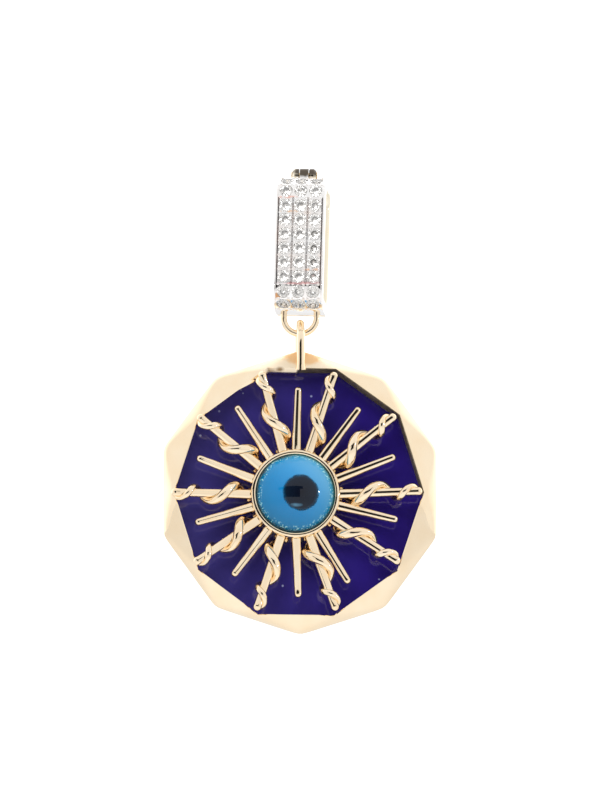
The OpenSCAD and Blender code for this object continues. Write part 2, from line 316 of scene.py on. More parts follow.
class Nodes:
    """A short way to lay out a node tree."""

    def __init__(self, tree: bpy.types.NodeTree) -> None:
        """Clears the tree and keeps it."""
        tree.nodes.clear()
        self.tree = tree

    def add(self, kind: str, settings: Optional[dict] = None, **inputs: object) -> bpy.types.Node:
        """Adds a node.

        Args:
            kind: The node's type without its prefix.
            settings: Properties of the node itself.
            **inputs: Values or sockets for its inputs, by name with _ for a space, or by i and a number.

        Returns:
            The new node.
        """
        node = self.tree.nodes.new("ShaderNode" + kind)
        for key, value in (settings or {}).items():
            setattr(node, key, value)
        for key, value in inputs.items():
            place = int(key[1:]) if key[0] == "i" and key[1:].isdigit() else key.replace("_", " ")
            if isinstance(value, Socket):
                self.tree.links.new(value, node.inputs[place])
            else:
                node.inputs[place].default_value = value
        return node

    def noise(self, where: Socket, scale: float, detail: float, roughness: float = 0.5) -> Socket:
        """A noise texture's value, its scale in waves to the metre."""
        return self.add("TexNoise", Vector=where, Scale=scale, Detail=detail,
                        Roughness=roughness).outputs["Fac"]

    def spread(self, value: Socket, low: float, high: float, new_low: float = 0.0,
               new_high: float = 1.0) -> Socket:
        """Maps a value from one range to another and keeps it there."""
        return self.add("MapRange", Value=value, From_Min=low, From_Max=high, To_Min=new_low,
                        To_Max=new_high).outputs[0]

    def ramp(self, value: Socket, stops: Stops) -> Socket:
        """A colour ramp with its stops at shares from 0 to 1."""
        node = self.add("ValToRGB", Fac=value)
        ends = node.color_ramp.elements
        while len(ends) < len(stops):
            ends.new(0.5)
        for end, (at, colour) in zip(ends, stops):
            end.position, end.color = at, (*colour, 1.0)
        return node.outputs["Color"]

    def mix(self, share: object, one: object, two: object, blend: str = "MIX") -> Socket:
        """Mixes two colours by a share."""
        one, two = ((*colour, 1.0) if isinstance(colour, tuple) else colour for colour in (one, two))
        settings = {"data_type": "RGBA", "blend_type": blend}
        return self.add("Mix", settings, i0=share, i6=one, i7=two).outputs[2]

    def math(self, operation: str, one: object, two: object = 0.0) -> Socket:
        """One step of arithmetic."""
        return self.add("Math", {"operation": operation}, i0=one, i1=two).outputs[0]

    def vector(self, operation: str, one: object, two: object = (0.0, 0.0, 0.0)) -> Socket:
        """One step with vectors, which gives a number for a length or a dot product, else a vector."""
        out = "Value" if operation in ("LENGTH", "DOT_PRODUCT") else "Vector"
        return self.add("VectorMath", {"operation": operation}, i0=one, i1=two).outputs[out]

    def from_axis(self, where: Socket) -> Socket:
        """The way to a point from the Y axis."""
        return self.vector("MULTIPLY", where, (1.0, 0.0, 1.0))


@dataclass(frozen=True)
class Tint:
    """A patch that gives the metal another colour, in millimetres; some patches are painted shade or painted
    reflection.
    """

    middle: tuple[float, float, float]
    reach: tuple[float, float, float]
    colour: Colour
    soft: float = 0.35
    rough: float = 0.0

    def share(self, n: Nodes, where: Socket) -> Socket:
        """How much of the patch a point has.

        Args:
            n: The node tree.
            where: The point, in metres.

        Returns:
            A share from 0 to 1.
        """
        middle, reach = ([v * MM for v in size] for size in (self.middle, self.reach))
        out = n.vector("LENGTH", n.vector("DIVIDE", n.vector("SUBTRACT", where, middle), reach))
        ragged = n.math("ADD", out, n.spread(n.noise(where, 1500, 2), 0.3, 0.7, -0.15, 0.15))
        return n.spread(ragged, 1.0 - self.soft, 1.0, 1.0, 0.0)


@dataclass(frozen=True)
class Finish:
    """A named finish that one shader gives."""

    name: str

    def inputs(self, n: Nodes, where: Socket) -> dict[str, object]:
        """The shader's inputs.

        Args:
            n: The node tree.
            where: The point, in metres.

        Returns:
            Values or sockets by the inputs' names, with _ for a space.
        """
        raise NotImplementedError

    def make(self) -> Material:
        """Makes the material."""
        material = bpy.data.materials.new(self.name)
        material.use_nodes = True
        n = Nodes(material.node_tree)
        shader = n.add("BsdfPrincipled", **self.inputs(n, n.add("TexCoord").outputs["Object"]))
        n.add("OutputMaterial", Surface=shader.outputs[0])
        return material


@dataclass(frozen=True)
class Polish(Finish):
    """Hand-polished gold: soft waves, faint wheel marks and a tint that deepens a little in patches."""

    light: Colour
    deep: Colour
    roughness: float
    wave: float
    wave_depth: float
    marks: float
    tints: tuple[Tint, ...] = ()

    def surface(self, n: Nodes, where: Socket, rough: Socket) -> tuple[Socket, Socket, object]:
        """Colour, roughness and metal over the surface.

        Args:
            n: The node tree.
            where: The point, in metres.
            rough: The roughness that the wheel marks give.

        Returns:
            The colour, the roughness and the share of bare metal.
        """
        colour = n.mix(n.spread(n.noise(where, 420, 2), 0.35, 0.7), self.light, self.deep)
        for tint in self.tints:
            share = tint.share(n, where)
            colour = n.mix(share, colour, tint.colour)
            if tint.rough:
                rough = n.math("MAXIMUM", rough, n.math("MULTIPLY", share, tint.rough))
        return colour, rough, 1.0

    def inputs(self, n: Nodes, where: Socket) -> dict[str, object]:
        """The shader's inputs, with the arguments and results of any finish."""
        marks = n.noise(n.add("Mapping", Vector=where, Scale=(9000, 9000, 1400)).outputs[0], 1.0, 2)
        rough = n.spread(marks, 0.3, 0.75, self.roughness * 0.7, self.roughness * 1.5)
        colour, rough, metal = self.surface(n, where, rough)
        waves = n.add("Bump", Strength=0.5, Distance=self.wave_depth, Height=n.noise(where, self.wave, 1.5))
        fine = n.add("Bump", Strength=self.marks, Distance=2e-6, Height=marks, Normal=waves.outputs[0])
        return dict(Base_Color=colour, Metallic=metal, Roughness=rough, Normal=fine.outputs[0])


@dataclass(frozen=True)
class RecessPolish(Polish):
    """The medallion's gold, with the recess wall on one side left rough and dull, and painted dark with shade
    there.
    """

    dark_at: float = 45.0
    dark_half: float = 46.5
    # Colour of the painted shade on the recess wall.
    painted_wall_shade: Colour = (0.210, 0.165, 0.090)

    def surface(self, n: Nodes, where: Socket, rough: Socket) -> tuple[Socket, Socket, object]:
        """Colour, roughness and metal, with the arguments and results of plain polish."""
        colour, rough, _ = super().surface(n, where, rough)
        way = n.vector("NORMALIZE", n.from_axis(where))
        inward = n.vector("DOT_PRODUCT", way, n.add("TexCoord").outputs["Normal"])
        wall = n.spread(inward, -0.4, -0.3, 1.0, 0.0)
        a, edge = radians(self.dark_at), cos(radians(self.dark_half))
        dark = n.spread(n.vector("DOT_PRODUCT", way, (cos(a), 0, sin(a))), edge - 0.01, edge + 0.01)
        # Painted shade: on one side the recess wall is painted dark in patches, and is also made rough and
        # not metal.
        matt_shaded_wall = n.math("MULTIPLY", wall, dark)
        patchy_wall_shade = n.mix(n.spread(n.noise(where, 1800, 3), 0.35, 0.65), self.painted_wall_shade,
                       tuple(0.45 * c for c in self.painted_wall_shade))
        rough = n.math("MAXIMUM", rough, n.math("MULTIPLY", matt_shaded_wall, 0.5))
        return n.mix(matt_shaded_wall, colour, patchy_wall_shade), rough, n.math("SUBTRACT", 1.0, matt_shaded_wall)


@dataclass(frozen=True)
class Enamel(Finish):
    """Deep blue enamel: clouded, glossy, with a few specks under the gloss, and painted light that makes it
    paler towards its left side.
    """

    name: str = "navy_enamel"
    dark: Colour = (0.0215, 0.0096, 0.172)
    light: Colour = (0.0290, 0.0152, 0.225)
    lit_side_colour: Colour = (0.0540, 0.0460, 0.232)
    speck: Colour = (0.42, 0.46, 0.75)

    def inputs(self, n: Nodes, where: Socket) -> dict[str, object]:
        """The shader's inputs, with the arguments and results of any finish."""
        colour = n.mix(n.spread(n.noise(where, 130, 4, 0.6), 0.35, 0.7), self.dark, self.light)
        # Painted light: the left side of the enamel is painted paler, as if more light fell on it.
        side = n.spread(n.add("SeparateXYZ", Vector=where).outputs["X"], -0.012, 0.006, 1.0, 0.0)
        colour = n.mix(side, colour, self.lit_side_colour)
        cells = n.add("TexVoronoi", {"feature": "F1"}, Vector=where, Scale=650.0)
        near = n.spread(cells.outputs["Distance"], 0.05, 0.09, 1.0, 0.0)
        rare = n.spread(n.noise(where, 260, 1), 0.56, 0.60)
        bump = n.add("Bump", Strength=0.3, Distance=1.5e-5, Height=n.noise(where, 180, 1))
        return dict(Base_Color=n.mix(n.math("MULTIPLY", near, rare), colour, self.speck),
                    Roughness=n.spread(n.noise(where, 900, 2), 0.3, 0.7, 0.03, 0.09),
                    Normal=bump.outputs[0], IOR=1.48)


@dataclass(frozen=True)
class Stone(Finish):
    """Clear cut stone with faint clouds, broken up into lighter cells and darker cells of painted facet
    reflection.
    """

    name: str = "clear_cut_stone"
    clear: Colour = (1.0, 0.985, 0.955)
    cloud: Colour = (0.96, 0.935, 0.90)
    facet_shade: Colour = (0.62, 0.59, 0.56)

    def inputs(self, n: Nodes, where: Socket) -> dict[str, object]:
        """The shader's inputs, with the arguments and results of any finish."""
        colour = n.mix(n.spread(n.noise(where, 900, 2), 0.35, 0.65), self.clear, self.cloud)
        # Painted reflection: some cells are painted darker, standing in for facets that reflect dark
        # surroundings.
        cells = n.add("TexVoronoi", {"feature": "F1"}, Vector=where, Scale=4300.0).outputs["Color"]
        facet_shade_mask = n.spread(n.add("SeparateXYZ", Vector=cells).outputs["X"], 0.05, 0.3)
        return dict(Base_Color=n.mix(facet_shade_mask, self.facet_shade, colour), IOR=2.4, Transmission_Weight=0.86,
                    Roughness=n.spread(n.noise(where, 4000, 1), 0.4, 0.7, 0.0, 0.01))


@dataclass(frozen=True)
class EyeGlass(Finish):
    """Blue glass of the eye: light in the middle, with painted light on its upper right, painted shade that
    turns it teal towards the edge, and fine bubbles near the edge.
    """

    name: str = "blue_eye_glass"
    radius: float = 3.9
    bubble: Colour = (0.40, 0.80, 0.80)
    # Colours from the lower left to the upper right of the glass: painted light, lighter on the upper right
    # side.
    across: Stops = ((0.0, (0.001, 0.165, 0.375)), (0.35, (0.005, 0.200, 0.465)),
                     (0.65, (0.030, 0.262, 0.550)), (1.0, (0.105, 0.375, 0.650)))
    # Shares outwards from the middle: painted shade darkens the glass to teal at its edge, where refraction
    # shades it.
    outward: Stops = ((0.0, (0.85, 0.90, 0.95)), (0.62, (1.0, 1.0, 1.0)), (0.87, (0.9, 1.0, 0.97)),
                      (0.93, (0.45, 0.80, 0.72)), (0.965, (0.10, 0.42, 0.32)), (1.0, (0.02, 0.20, 0.14)))

    def inputs(self, n: Nodes, where: Socket) -> dict[str, object]:
        """The shader's inputs, with the arguments and results of any finish."""
        out = n.math("DIVIDE", n.vector("LENGTH", n.from_axis(where)), self.radius * MM)
        out = n.math("ADD", out, n.spread(n.noise(where, 520, 3), 0.3, 0.7, -0.03, 0.03))
        lit = n.spread(n.vector("DOT_PRODUCT", where, (0.78, 0.0, 0.63)), -0.0034, 0.0034)
        colour = n.mix(1.0, n.ramp(lit, self.across), n.ramp(out, self.outward), "MULTIPLY")
        ring = n.math("MULTIPLY", n.spread(out, 0.84, 0.91), n.spread(out, 0.94, 0.97, 1.0, 0.0))
        bubbles = n.spread(n.noise(where, 5200, 2), 0.56, 0.63, 0.0, 0.85)
        return dict(Base_Color=n.mix(n.math("MULTIPLY", ring, bubbles), colour, self.bubble), IOR=1.45,
                    Roughness=n.spread(n.noise(where, 700, 2), 0.3, 0.7, 0.01, 0.05))


@dataclass(frozen=True)
class PupilGlass(Finish):
    """Black glass that fades out at its rim, with a light blue painted reflection low on it."""

    name: str = "black_pupil_glass"
    radius: float = 1.84
    outward: Stops = ((0.0, (0.003, 0.004, 0.010)), (0.8, (0.004, 0.010, 0.022)), (1.0, (0.006, 0.06, 0.12)))
    # Painted reflection: a light blue patch low on the spot, where the dome reflects its surroundings.
    reflection_patch: Tint = Tint((-0.43, 0.0, -1.25), (0.85, 6.0, 0.27), (0.10, 0.26, 0.40), 0.7)

    def inputs(self, n: Nodes, where: Socket) -> dict[str, object]:
        """The shader's inputs, with the arguments and results of any finish."""
        out = n.math("DIVIDE", n.vector("LENGTH", n.from_axis(where)), self.radius * MM)
        out = n.math("ADD", out, n.spread(n.noise(where, 1300, 2), 0.3, 0.7, -0.05, 0.03))
        colour = n.mix(self.reflection_patch.share(n, where), n.ramp(out, self.outward), self.reflection_patch.colour)
        return dict(Base_Color=colour, Roughness=0.03, IOR=1.38, Alpha=n.spread(out, 0.88, 1.0, 1.0, 0.0))


@dataclass(frozen=True)
class Plain(Finish):
    """A plain finish for the stage."""

    colour: Colour

    def inputs(self, n: Nodes, where: Socket) -> dict[str, object]:
        """The shader's inputs, with the arguments and results of any finish."""
        return dict(Base_Color=(*self.colour, 1.0), Roughness=0.7, Specular_IOR_Level=0.1)


class Finishes:
    """Every finish of the pendant, made once."""

    def __init__(self) -> None:
        """Makes the materials."""
        light = (1.0, 0.84, 0.62)
        # Painted shade: the hinge and its knuckles are painted near black where they lie in shade and dark
        # reflection.
        hinge = Tint((0.0, 0.0, 2.0), (2.2, 1.2, 0.82), (0.12, 0.10, 0.08))
        notches = tuple(Tint((x, -2.7, -11.0), (0.4, 1.0, 0.4), (0.62, 0.33, 0.16)) for x in (-2.8, 1.85))
        under = Tint((0.0, -2.4, -12.2), (4.0, 2.2, 1.0), (1.0, 1.0, 1.0))
        rows = tuple(Tint(middle, reach, colour, 0.5) for middle, reach, colour in (
            ((-1.5, -3.9, -1.15), (0.9, 0.6, 0.20), (0.93, 0.60, 0.52)),
            ((-1.4, -3.9, -2.60), (0.8, 0.6, 0.17), (0.95, 0.66, 0.45)),
            ((1.3, -3.9, -8.50), (0.8, 0.6, 0.17), (0.95, 0.66, 0.50)),
            ((-0.1, -3.7, -9.85), (2.6, 0.8, 0.17), (0.92, 0.58, 0.57))))
        buffed = Tint((-0.7, -2.0, 12.6), (4.8, 1.4, 1.3), (1.0, 0.86, 0.66), rough=0.45)
        # Painted reflection: the orange patch on the top facet behind the loop is the loop's reflection
        # painted into the gold, not solder.
        solder = Tint((0.25, -1.6, 13.35), (2.2, 1.4, 1.02), (0.95, 0.65, 0.36), rough=0.5)
        # A small dark brown patch on the lip at the top left of the recess.
        lip_brown_patch = Tint((-2.05, -2.0, 12.1), (0.55, 0.7, 0.3), (0.36, 0.24, 0.13), 0.8, 0.3)
        self.yellow = Polish("polished_yellow_gold", light, (0.98, 0.78, 0.53), 0.045, 700, 1.2e-5,
                             0.25).make()
        self.satin = Polish("cast_yellow_gold", (0.96, 0.74, 0.46), (0.85, 0.56, 0.28), 0.16, 2600,
                            1.5e-5, 0.5).make()
        self.frame = RecessPolish("polished_frame_gold", light, (0.98, 0.79, 0.55), 0.06, 300, 1.5e-5,
                                  0.2, (buffed, solder, lip_brown_patch)).make()
        # Painted light: the gate's gold is painted paler than the other yellow gold, so that its shaded inner
        # face reads lit.
        self.gate = Polish("polished_gate_gold", (0.96, 0.885, 0.73), (0.95, 0.84, 0.64), 0.06, 700,
                           1.0e-5, 0.25, (hinge,)).make()
        self.holder = Polish("polished_white_gold", (0.97, 0.96, 0.95), (0.94, 0.89, 0.86), 0.08, 900,
                             8e-6, 0.3, (hinge, under, *notches, *rows)).make()
        self.beads = Polish("bright_white_gold", (0.98, 0.97, 0.96), (0.95, 0.86, 0.80), 0.07, 900,
                            4e-6, 0.2, rows).make()
        # Painted shade: a dark finish for thin strips along the grooves, where the grooves only lie in shade.
        self.groove_shade = Polish("painted_groove_shade", (0.20, 0.19, 0.19), (0.30, 0.22, 0.20), 0.3, 2600, 1e-5,
                             0.5).make()
        self.enamel, self.stone, self.eye, self.pupil = (
            finish().make() for finish in (Enamel, Stone, EyeGlass, PupilGlass))


# Corners of the recess, a row for each: angle, radius from the medallion's middle
CORNERS = ((-0.8, 12.21), (37.7, 12.41), (74, 12.65), (105, 12.66), (145.4, 12.4), (181.4, 12.56),
           (218.2, 12.93), (251.2, 13.13), (284.8, 12.93), (320.3, 12.47))


@dataclass
class Medallion:
    """The faceted gold body with its recess, and the loop soldered to its front and back."""

    point_r: float = 14.35
    lip_y: float = 2.3
    edge_y: float = 0.95
    edge_t: float = 0.5
    back_y: float = 1.6
    back_r: float = 13.3
    pocket: float = 0.08
    recess: float = 2.6
    panel_t: float = 0.8
    gap: float = 0.02
    girdle_in: float = 0.35
    back_in: float = 1.4
    core_y: float = -0.3
    strap_r: float = 0.4
    strap_bend: float = 2.2
    strap_y: float = -0.35
    strap_z: float = -1.33
    foot: float = 1.75
    flare_h: float = 0.85
    flare_r: float = 0.14
    arch: float = 0.45
    clear: float = 2.1
    facet_start: float = 0.06
    ledge_y: float = 0.27
    slant: float = 0.06
    wide_slant: float = 0.38
    slant_turns: tuple[float, float, float, float] = (90.9, 91, 111, 122)
    soft: float = 0.12
    steps: int = 24
    front_steps: int = 12
    back_steps: int = 22

    def corners(self, grow: float, y: float) -> Ring:
        """The ten-sided ring of the recess, grown outwards, at a depth."""
        return [round_y(r + grow, radians(a), y) for a, r in CORNERS]

    def points(self, r: float, y: float, turn: float) -> Ring:
        """A regular ten-sided ring, at a depth."""
        return [round_y(r, a, y) for a in turns(10, radians(turn))]

    def planes(self) -> tuple[np.ndarray, np.ndarray]:
        """The planes of the facets, the girdle and the back.

        Returns:
            Their outward normals, and their distances from the middle.
        """
        lip = self.corners(self.facet_start, -self.lip_y)
        front = self.points(self.point_r, -self.edge_y, 18)
        rear = self.points(self.point_r, -self.edge_y + self.edge_t, 18)
        back = self.points(self.back_r, self.back_y - 0.2, 0)
        threes = []
        for k in range(10):
            m = (k + 1) % 10
            threes += [(lip[k], lip[m], front[k]), (lip[m], front[k], front[m]),
                       (front[k], front[m], rear[m]), (rear[k], back[k], back[m]),
                       (rear[k], rear[m], back[m])]
        normals, places = [Vector((0, 1, 0))], [Vector((0, self.back_y, 0))]
        for a, b, c in threes:
            normal = (b - a).cross(c - a).normalized()
            normals.append(normal if normal.dot(a - Vector((0, -0.4, 0))) > 0 else -normal)
            places.append(a)
        away = [normal.dot(place) for normal, place in zip(normals, places)]
        return np.array(normals), np.array(away)

    def outside(self, points: np.ndarray) -> np.ndarray:
        """How far points lie outside the softened body, negative inside it.

        Args:
            points: The points, a row for each.

        Returns:
            A distance for each point.
        """
        normals, away = self.planes()
        over = (points @ normals.T - away) / self.soft
        top = over.max(axis=1)
        return self.soft * (top + np.log(np.exp(over - top[:, None]).sum(axis=1)))

    def meet(self, start: np.ndarray, way: np.ndarray, near: float, far: float) -> np.ndarray:
        """Where lines leave the softened body.

        Args:
            start: A point of each line.
            way: The direction of each line.
            near: Distance at which every line is inside.
            far: Distance at which every line is outside.

        Returns:
            The points on the surface.
        """
        low, high = np.full(len(start), near), np.full(len(start), far)
        for _ in range(34):
            middle = (low + high) / 2
            out = self.outside(start + middle[:, None] * way) > 0
            high, low = np.where(out, middle, high), np.where(out, low, middle)
        return start + low[:, None] * way

    def body(self) -> Shape:
        """The faceted body with softly polished edges, its recess and its wall."""
        rim = self.corners(0, 0)
        shares = (0.0, 0.012, *(i / self.steps for i in range(1, self.steps)), 0.988)
        columns = [rim[k].lerp(rim[(k + 1) % 10], share) for k in range(10) for share in shares]
        angle = np.array([math.atan2(p.z, p.x) for p in columns])
        radius = np.array([math.hypot(p.x, p.z) for p in columns])
        round_way = spots(np.cos(angle), 0.0, np.sin(angle))
        forward = np.tile([0.0, -1.0, 0.0], (len(angle), 1))

        def front(out: np.ndarray) -> np.ndarray:
            """The front surface at a radius on each column."""
            return self.meet(round_way * out[:, None] + [0.0, -0.5, 0.0], forward, 0.0, 4.0)

        edge = radius + self.gap
        lip = front(edge)[:, 1]
        floor_y = self.recess - self.lip_y + self.panel_t + self.gap
        slant = np.interp(np.degrees(angle), self.slant_turns,
                          (self.slant, self.wide_slant, self.wide_slant, self.slant))
        rings = [round_way * (radius + out)[:, None] + spots(0.0, y, 0.0)
                 for out, y in ((self.pocket, floor_y), (self.pocket, self.ledge_y), (-slant, self.ledge_y),
                                (-slant, lip + slant), (0, lip + 0.01))]
        girdle = self.point_r * cos(radians(18)) - self.girdle_in
        rings += [front(edge + (girdle - edge) * i / self.front_steps) for i in range(self.front_steps + 1)]
        middle = np.array([0.0, self.core_y, 0.0])
        first = np.arctan2(rings[-1][:, 1] - self.core_y, girdle)
        last = math.atan2(self.back_y - self.core_y, self.back_r - self.back_in)
        for i in range(1, self.back_steps + 1):
            rise = first + (last - first) * i / self.back_steps
            way = round_way * np.cos(rise)[:, None] + spots(0.0, np.sin(rise), 0.0)
            rings.append(self.meet(np.tile(middle, (len(rise), 1)), way, 0.5, 20.0))
        shape = Shape()
        shape.loft([[Vector(p) for p in ring] for ring in rings])
        return shape

    def shoulder(self, point: Vector) -> Vector:
        """A point of the loop, drawn in where its front shoulder would meet the holder at the swing's end."""
        over = (self.strap_z + point.z - self.strap_y - point.y - self.clear) / 0.08
        shift = 0.04 * (over if over > 30 else math.log1p(math.exp(over)))
        return point + Vector((0, shift, -shift))

    def strap(self) -> Shape:
        """The loop of round wire, flared where its front foot meets the lip."""
        b, f, r = self.strap_bend, self.foot, self.strap_r
        arc = [self.shoulder(Vector((0, -b * squared(cos(a), self.arch), b * sin(a) ** self.arch)))
               for a in (pi * i / 60 for i in range(1, 60))]
        swell = [self.flare_r * (1 - i / 8) ** 2.2 for i in range(9)]
        flare = [Vector((0, -b + swell[i], -f - self.flare_h * (1 - i / 8))) for i in range(9)]
        leg = [Vector((0, -b, -f + f * i / 6)) for i in range(1, 7)]
        back = [Vector((0, b, -f * i / 8)) for i in range(9)]
        path = [Vector((0, self.strap_y, self.strap_z)) + p for p in flare + leg + arc + back]
        count = len(path) - 1
        shape = Shape()
        shape.tube(path, lambda share: r + swell[min(round(share * count), 8)], 32, Vector((1, 0, 0)))
        ball = [[path[-1] + p for p in round_z(r * cos(e), -r * sin(e), 32)]
                for e in (pi / 16 * i for i in range(8))]
        shape.loft([*ball, [path[-1] - Vector((0, 0, r))]], (False, False))
        return shape

    def build(self, finishes: Finishes) -> None:
        """Builds the body and the loop."""
        Piece("medallion_body", self.body(), finishes.frame, Body.MEDALLION, ("medallion_frame",),
              HANG.medallion(), Slot.YELLOW_GOLD, crease=38).build()
        Piece("neck_loop", self.strap(), finishes.yellow, Body.MEDALLION, ("medallion_frame",),
              HANG.pivot(), Slot.YELLOW_GOLD).build()
        dress("blue_panel", finishes.enamel)


# Plain rays, a row for each: angle, tip radius from the eye's middle
PLAIN = ((88.6, 10.7), (53.4, 10.8), (20.5, 10.7), (-14.8, 10.6), (-59.6, 10.55), (-88.6, 10.55),
         (-126.6, 10.5), (-162.8, 10.5), (160.5, 10.5), (124.4, 10.6))
# Wound rays, a row for each: angle, tip radius from the eye's middle
WOUND = ((72.1, 12.8), (38.1, 12.75), (0.7, 12.7), (-34.3, 12.6), (-71.3, 12.6), (-108.3, 12.6),
         (-144.5, 12.5), (-179.5, 12.5), (142.1, 12.5), (106, 12.7))
# The ribbon on a wound ray, a row for each quarter turn:
# quarter turns, distance from the eye's middle, sideways reach, half width, half thickness
RIBBON = ((-1, 4.85, 0.80, 0.38, 0.34), (0, 5.95, 0.88, 0.47, 0.42), (1, 7.25, 0.86, 0.48, 0.40),
          (2, 8.50, 0.82, 0.43, 0.38), (3, 9.40, 0.70, 0.37, 0.33), (4, 10.20, 0.64, 0.34, 0.30),
          (5, 10.95, 0.60, 0.33, 0.28), (6, 11.70, 0.54, 0.28, 0.26), (7, 12.25, 0.38, 0.20, 0.17))


@dataclass
class Sun:
    """The bezel with its plain rays, and the rays with a ribbon wound round them."""

    glass_r: float = 3.93
    bezel_r: float = 4.45
    bezel_h: float = 2.05
    panel_y: float = 0.3
    lip_y: float = 2.3
    plain_root_r: float = 0.50
    plain_tip_r: float = 0.37
    wound_root_r: float = 0.50
    wound_tip_r: float = 0.41
    root_in: float = 0.25
    ribbon_tip: float = 12.6
    ribbon_steps: int = 12
    square: float = 0.72
    plain_rise: float = 1.1

    def root_y(self) -> float:
        """Depth at which the rays leave the bezel."""
        return self.panel_y - self.bezel_h * 0.6

    def along(self, angle: float, tip_y: float, tip: float) -> Matrix:
        """The frame of a ray: +X out along it, +Y sideways to its clockwise side, +Z to the front."""
        rise = math.atan2(self.root_y() - tip_y, tip - self.bezel_r)
        out = Matrix.Rotation(radians(-angle), 4, "Y")
        tilt = Matrix.Rotation(-rise, 4, "Z")
        lay = Matrix(((1, 0, 0, 0), (0, 0, -1, 0), (0, -1, 0, 0), (0, 0, 0, 1)))
        root = Matrix.Translation((self.bezel_r, self.root_y(), 0))
        return out @ root @ tilt @ Matrix.Translation((-self.bezel_r, 0, 0)) @ lay

    def rod(self, tip: float, root_r: float, tip_r: float) -> Shape:
        """A tapered rod along +X with a slightly squared section and a round tip."""
        start, end = self.bezel_r - self.root_in, tip - tip_r
        stations = [(start + (end - start) * i / 12, root_r + (tip_r - root_r) * i / 12) for i in range(13)]
        stations += [(end + tip_r * sin(pi / 16 * i), tip_r * cos(pi / 16 * i)) for i in range(1, 8)]
        shape = Shape()
        shape.loft([[Vector((x, r * squared(cos(a), self.square), r * squared(sin(a), self.square)))
                     for a in turns(28)] for x, r in stations] + [[Vector((tip, 0, 0))]])
        return shape

    def ribbon_point(self, q: float, stretch: float) -> Vector:
        """The ribbon's middle at a number of quarter turns."""
        reach, thick = smooth_table(RIBBON, q, 2), smooth_table(RIBBON, q, 4)
        a = pi / 2 * q
        return Vector((smooth_table(RIBBON, q, 1) * stretch, reach * cos(a),
                       (self.wound_root_r * 0.9 + thick * 0.62) * sin(a)))

    def ribbon(self, stretch: float) -> Shape:
        """The ribbon: a soft-edged band that winds round its ray and narrows towards the tip."""
        first, last = RIBBON[0][0], RIBBON[-1][0]
        steps = (last - first) * self.ribbon_steps
        rings = []
        for k in range(steps + 1):
            q = first + (last - first) * k / steps
            p = self.ribbon_point(q, stretch)
            before, after = (self.ribbon_point(q + step, stretch) for step in (-0.05, 0.05))
            ahead = (after - before).normalized()
            across = ahead.cross(Vector((0, p.y, p.z)).normalized()).normalized()
            up = across.cross(ahead)
            w, t = smooth_table(RIBBON, q, 3), smooth_table(RIBBON, q, 4)
            rings.append([p + w * squared(cos(a), 0.85) * across + t * squared(sin(a), 0.9) * up
                          for a in turns(18)])
        shape = Shape()
        shape.loft(rings)
        return shape

    def bezel(self) -> Shape:
        """The cup that holds the glass: a thin rim over a gently flared wall."""
        r, g, h = self.bezel_r, self.glass_r, self.bezel_h
        foot, floor = -0.02, 0.4
        profile = ((0, foot), (r - 0.12, foot), (r - 0.03, 0.1), (r, 0.5), (r, h - 0.36),
                   (r - 0.02, h - 0.18), (r - 0.09, h - 0.06), (r - 0.18, h), (g + 0.12, h + 0.005),
                   (g + 0.03, h - 0.03),
                   (g - 0.05, h - 0.10), (g - 0.02, h - 0.2), (g + 0.02, h - 0.3), (g + 0.02, floor),
                   (0, floor))
        shape = Shape()
        shape.lathe([(out, high - self.panel_y) for out, high in profile], 128)
        return shape

    def blobs(self) -> Shape:
        """Small drops of solder between the rays' roots."""
        shape = Shape()
        for k, (angle, _) in enumerate(WOUND):
            for side, out, r in ((5.6, 4.62, 0.24), (-7.0, 4.55, 0.2)):
                middle = round_y(out, radians(angle + side + (k % 3) * 0.8), self.root_y() + 0.45)
                size = r * (0.85 + 0.1 * (k * 7 % 4))
                rings = [[middle + round_y(size * sin(e), b, -size * cos(e)) for b in turns(14)]
                         for e in (pi * i / 9 for i in range(1, 9))]
                shape.loft([[middle + Vector((0, -size, 0))], *rings, [middle + Vector((0, size, 0))]])
        return shape

    def build(self, finishes: Finishes) -> None:
        """Builds the bezel, the rays and their ribbons."""
        plain, wound, ribbons = Shape(), Shape(), Shape()
        for angle, tip in PLAIN:
            rod = self.rod(tip, self.plain_root_r, self.plain_tip_r)
            plain.join(rod.moved(self.along(angle, self.root_y() - self.plain_rise, tip)))
        tip_y = -self.lip_y - self.wound_tip_r - 0.02
        for angle, tip in WOUND:
            place = self.along(angle, tip_y, tip)
            wound.join(self.rod(tip, self.wound_root_r, self.wound_tip_r).moved(place))
            ribbons.join(self.ribbon(tip / self.ribbon_tip).moved(place))
        for name, shape, finish in (("sun_bezel", self.bezel(), finishes.yellow),
                                    ("sun_plain_rays", plain, finishes.yellow),
                                    ("sun_wound_rays", wound, finishes.yellow),
                                    ("sun_ribbons", ribbons, finishes.yellow),
                                    ("sun_solder", self.blobs(), finishes.satin)):
            Piece(name, shape, finish, Body.MEDALLION, ("sun",), HANG.sun(), Slot.YELLOW_GOLD).build()


